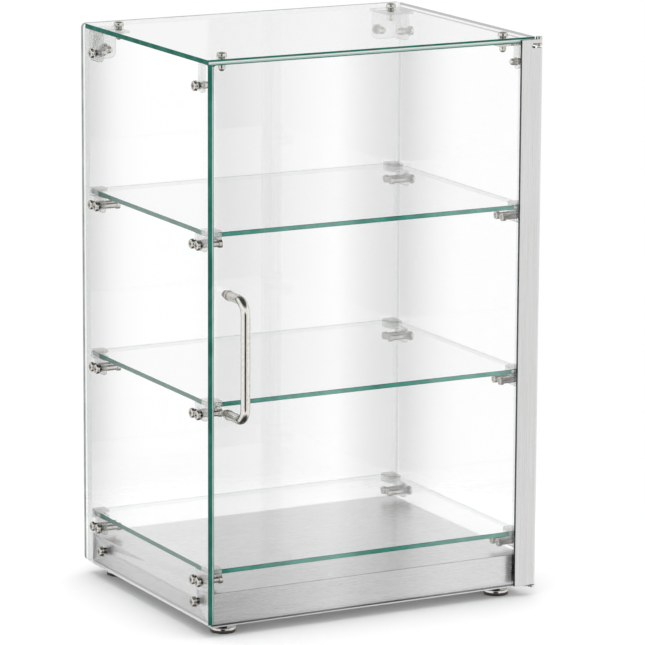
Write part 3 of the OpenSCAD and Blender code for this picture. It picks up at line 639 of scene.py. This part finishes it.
def make_floor():
    """A pale plain floor that fades into the white of the studio."""
    half = 0.8
    plain_to = 0.34
    gone_at = 0.56
    mesh = bmesh.new()
    bmesh.ops.create_grid(mesh, x_segments=4, y_segments=4, size=half)
    data = bpy.data.meshes.new("floor")
    mesh.to_mesh(data)
    mesh.free()
    floor = bpy.data.objects.new("floor", data)
    scene.collection.objects.link(floor)
    material, tree = new_material("pale_floor")
    darker, lighter = (0.86, 0.86, 0.86, 1), (0.88, 0.88, 0.88, 1)
    mottle = noise(tree, 3.0, (1, 1, 1), 2.0)
    colour = mix_colour(tree, mottle, darker, lighter)
    shader = add(tree, "ShaderNodeBsdfPrincipled", {"Base Color": colour, "Roughness": 0.9})
    coords = add(tree, "ShaderNodeTexCoord").outputs["Object"]
    away = add(tree, "ShaderNodeVectorMath", {0: coords}, operation="LENGTH").outputs["Value"]
    gone = map_range(tree, away, plain_to, gone_at, 0.0, 1.0)
    clear = add(tree, "ShaderNodeBsdfTransparent").outputs[0]
    faded = add(tree, "ShaderNodeMixShader", {0: gone, 1: shader.outputs[0], 2: clear})
    output(tree, faded.outputs[0])
    data.materials.append(material)
    floor.visible_glossy = False


def on_plane(point, axis, level):
    """Where the sight line from the viewpoint through a point meets the plane axis = level."""
    eye = camera_place()
    ray = point - eye
    return eye + ray * ((level - eye[axis]) / ray[axis])


def mirrored(point, axis, distance):
    """The place at a distance from a point, along its sight line mirrored in that axis."""
    ray = (point - camera_place()).normalized()
    ray[axis] = -ray[axis]
    return point + ray * distance


def flag(name, lines, axis, level, distance, heights):
    """A plain dark studio flag with soft sides, standing off a steel face that mirrors it.

    lines is a list of (x, y, darkness) upright lines, and heights its lower and upper end,
    given where they are to appear on the face in the plane axis = level.
    """
    mesh = bmesh.new()
    layer = mesh.loops.layers.uv.new("fade")
    columns = []
    for x, y, darkness in lines:
        ends = [
            mesh.verts.new(mirrored(on_plane(Vector((x, y, z)), axis, level), axis, distance))
            for z in heights
        ]
        columns.append((ends, darkness))
    for (first, first_dark), (second, second_dark) in zip(columns, columns[1:]):
        face = mesh.faces.new((first[0], second[0], second[1], first[1]))
        darks = (first_dark, second_dark, second_dark, first_dark)
        for loop, dark in zip(face.loops, darks):
            loop[layer].uv = (dark, 0.0)
    data = bpy.data.meshes.new(name)
    mesh.to_mesh(data)
    mesh.free()
    card = bpy.data.objects.new(name, data)
    scene.collection.objects.link(card)
    material, tree = new_material(name)
    fade = add(tree, "ShaderNodeTexCoord").outputs["UV"]
    dark = add(tree, "ShaderNodeSeparateXYZ", {0: fade}).outputs["X"]
    clear = add(tree, "ShaderNodeBsdfTransparent").outputs[0]
    black = add(tree, "ShaderNodeEmission", {"Color": (0, 0, 0, 1), "Strength": 0.0}).outputs[0]
    output(tree, add(tree, "ShaderNodeMixShader", {0: dark, 1: clear, 2: black}).outputs[0])
    data.materials.append(material)
    card.visible_camera = False
    card.visible_diffuse = False
    card.visible_shadow = False
    card.visible_transmission = False


# Stops of the grey fades that the panes mirror, as (place, darkness). They were set from
# the photograph's brightness along one level line. In DOOR_FADE the place is a
# fraction of the front's width from its left edge, and in SIDE_FADE one of the left
# pane's depth from its back edge
DOOR_FADE = (
    (0.00, 1.00), (0.05, 1.00), (0.155, 0.66), (0.275, 0.25), (0.37, 0.00), (0.39, 0.00),
    (0.42, 0.23), (0.47, 0.60), (0.52, 0.87), (0.565, 1.00), (0.58, 0.97), (0.60, 0.93),
    (0.64, 0.62), (0.69, 0.28), (0.74, 0.06), (0.77, 0.00),
)
SIDE_FADE = (
    (0.00, 1.00), (0.06, 0.89), (0.13, 0.66), (0.19, 0.44), (0.26, 0.24), (0.33, 0.12),
    (0.45, 0.03), (0.53, 0.00),
)
# Where the back corner is seen through the door, as in DOOR_FADE
BACK_CORNER = 0.572
# Darkness of the flags that the base mirrors, by the same fractions
BASE_FRONT_FADE = ((-0.4, 0.42), (0.00, 0.38), (0.15, 0.26), (0.35, 0.08), (0.60, 0.00))
BASE_SIDE_FADE = ((-0.4, 0.04), (0.00, 0.04), (1.00, 0.12), (1.40, 0.12))


def across_front(fades):
    """(x, y, darkness) of upright lines across the front, from fractions of its width."""
    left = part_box("left_side_glass")[0].x
    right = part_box("right_side_glass")[1].x
    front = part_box("door_glass")[0].y
    return [(left + f * (right - left), front, dark) for f, dark in fades]


def along_side(fades):
    """(x, y, darkness) of upright lines along the left pane, from its back edge."""
    low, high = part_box("left_side_glass")
    return [(low.x, high.y + f * (low.y - high.y), dark) for f, dark in fades]


def make_flags():
    """Soft grey on the brushed base, towards its left corner."""
    base_low, base_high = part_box("base_tray")
    heights = (-0.06, base_high.z + 0.02)
    stand_off = 0.26
    flag("base_front_flag", across_front(BASE_FRONT_FADE), 1, base_low.y, stand_off, heights)
    flag("base_side_flag", along_side(BASE_SIDE_FADE), 0, base_low.x, stand_off, heights)


def bearing(x, y):
    """The bearing, in radians, of an upright line from the photograph's viewpoint."""
    eye = camera_place()
    return math.atan2(y - eye.y, x - eye.x)


def strip(tree, angle, level, marks):
    """level, darkened by upright strips. marks is a list of (bearing, darkness)."""
    marks = sorted(marks, key=lambda mark: -mark[0])
    first, last = marks[0][0], marks[-1][0]
    place = add(
        tree,
        "ShaderNodeMapRange",
        {"Value": angle, "From Min": first, "From Max": last, "To Min": 0.0, "To Max": 1.0},
    ).outputs["Result"]
    ramp = add(tree, "ShaderNodeValToRGB", {0: place})
    stops = ramp.color_ramp.elements
    while len(stops) < len(marks):
        stops.new(0.5)
    for stop, (mark, dark) in zip(stops, marks):
        stop.position = (mark - first) / (last - first)
        stop.color = (1 - dark, 1 - dark, 1 - dark, 1)
    return math_node(tree, "MULTIPLY", level, ramp.outputs["Color"])


def pane_strips(tree, direction, level):
    """Upright grey strips of the surround, below the horizon, that the panes mirror
    beside their edges. A strip fades in or out over a soft end, or starts at a step."""
    soft_end = math.radians(0.5)
    step = math.radians(0.005)
    side = [(bearing(x, y), dark) for x, y, dark in along_side(SIDE_FADE)]
    door = [(bearing(x, y), dark) for x, y, dark in across_front(DOOR_FADE)]
    past_corner = [mark for mark, (f, _) in zip(door, DOOR_FADE) if f >= BACK_CORNER]
    side.append((side[0][0] + soft_end, 0.0))
    door.append((door[0][0] + step, 0.0))
    past_corner.append((past_corner[0][0] + step, 0.0))
    axes = add(tree, "ShaderNodeSeparateXYZ", {0: direction}).outputs
    turned_x = math_node(tree, "MULTIPLY", axes["X"], -1.0)
    turned_y = math_node(tree, "MULTIPLY", axes["Y"], -1.0)
    by_front = math_node(tree, "ARCTAN2", turned_y, axes["X"])
    by_side = math_node(tree, "ARCTAN2", axes["Y"], turned_x)
    shade = strip(tree, by_front, 1.0, side + door)
    shade = strip(tree, by_side, shade, side + past_corner)
    full_below, gone_above = -0.10, -0.02
    above = map_range(tree, axes["Z"], full_below, gone_above, 0.0, 1.0)
    lightened = math_node(tree, "MULTIPLY", above, math_node(tree, "SUBTRACT", 1.0, shade))
    return math_node(tree, "MULTIPLY", level, math_node(tree, "ADD", shade, lightened))


def dark_patch(tree, direction, level, towards, core, rim, low):
    """level, lowered to low within core degrees of a vector, with a soft rim in degrees."""
    cosine = add(
        tree, "ShaderNodeVectorMath", {0: direction, 1: tuple(towards)}, operation="DOT_PRODUCT"
    ).outputs["Value"]
    rim_cosine = math.cos(math.radians(rim))
    core_cosine = math.cos(math.radians(core))
    factor = map_range(tree, cosine, rim_cosine, core_cosine, 1.0, low)
    return math_node(tree, "MULTIPLY", level, factor)


def make_world():
    """White to the camera and even to diffuse light. In reflections it is a studio that is
    darker in front, overhead and underfoot, with grey strips beside the panes' edges."""
    front_drop = 0.12
    even_level = 1.20
    world = bpy.data.worlds.new("studio")
    world.use_nodes = True
    scene.world = world
    tree = world.node_tree
    tree.nodes.clear()
    _, _, back = view_axes()
    # Direction, core and rim in degrees, and the share of light left at the core
    patches = (
        (Vector((back.x, back.y, -front_drop)).normalized(), 16, 28, 0.03),
        (Vector((-back.x, -back.y, back.z)), 6, 26, 0.84),
        (Vector((0.0, 0.0, 1.0)), 34, 60, 0.04),
        (Vector((0.0, 0.0, -1.0)), 30, 56, 0.04),
    )
    direction = add(tree, "ShaderNodeTexCoord").outputs["Generated"]
    level = 1.0
    for towards, core, rim, low in patches:
        level = dark_patch(tree, direction, level, towards, core, rim, low)
    level = pane_strips(tree, direction, level)
    studio, even, white = (
        add(tree, "ShaderNodeBackground", {"Color": WHITE, "Strength": strength}).outputs[0]
        for strength in (level, even_level, 1.0)
    )
    path = add(tree, "ShaderNodeLightPath").outputs
    lit = add(tree, "ShaderNodeMixShader", {0: path["Is Glossy Ray"], 1: even, 2: studio})
    seen = add(tree, "ShaderNodeMixShader", {0: path["Is Camera Ray"], 1: lit.outputs[0], 2: white})
    made = add(tree, "ShaderNodeOutputWorld")
    tree.links.new(seen.outputs[0], made.inputs["Surface"])


def area_light(name, place, target, size, power):
    """A soft round light, in metres and watts, that reflections do not show."""
    data = bpy.data.lights.new(name, "AREA")
    data.shape = "DISK"
    data.size = size
    data.energy = power
    light = bpy.data.objects.new(name, data)
    scene.collection.objects.link(light)
    light.location = place
    light.rotation_euler = (Vector(target) - Vector(place)).to_track_quat("-Z", "Y").to_euler()
    light.visible_glossy = False


def make_lights():
    """One broad light overhead, for a soft shadow under the base."""
    area_light("overhead", place=(0.0, 0.0, 2.4), target=(0, 0, 0), size=1.8, power=14.0)


def make_look():
    """Display transform and ray depths: many clear sheets lie behind each other."""
    scene.view_settings.view_transform = "Standard"
    scene.cycles.max_bounces = 16
    scene.cycles.glossy_bounces = 6
    scene.cycles.transparent_max_bounces = 48


make_camera()
make_floor()
make_world()
make_lights()
make_flags()
make_look()
make_panes()
make_base()
make_plastic()
make_hardware()
make_door_steel()
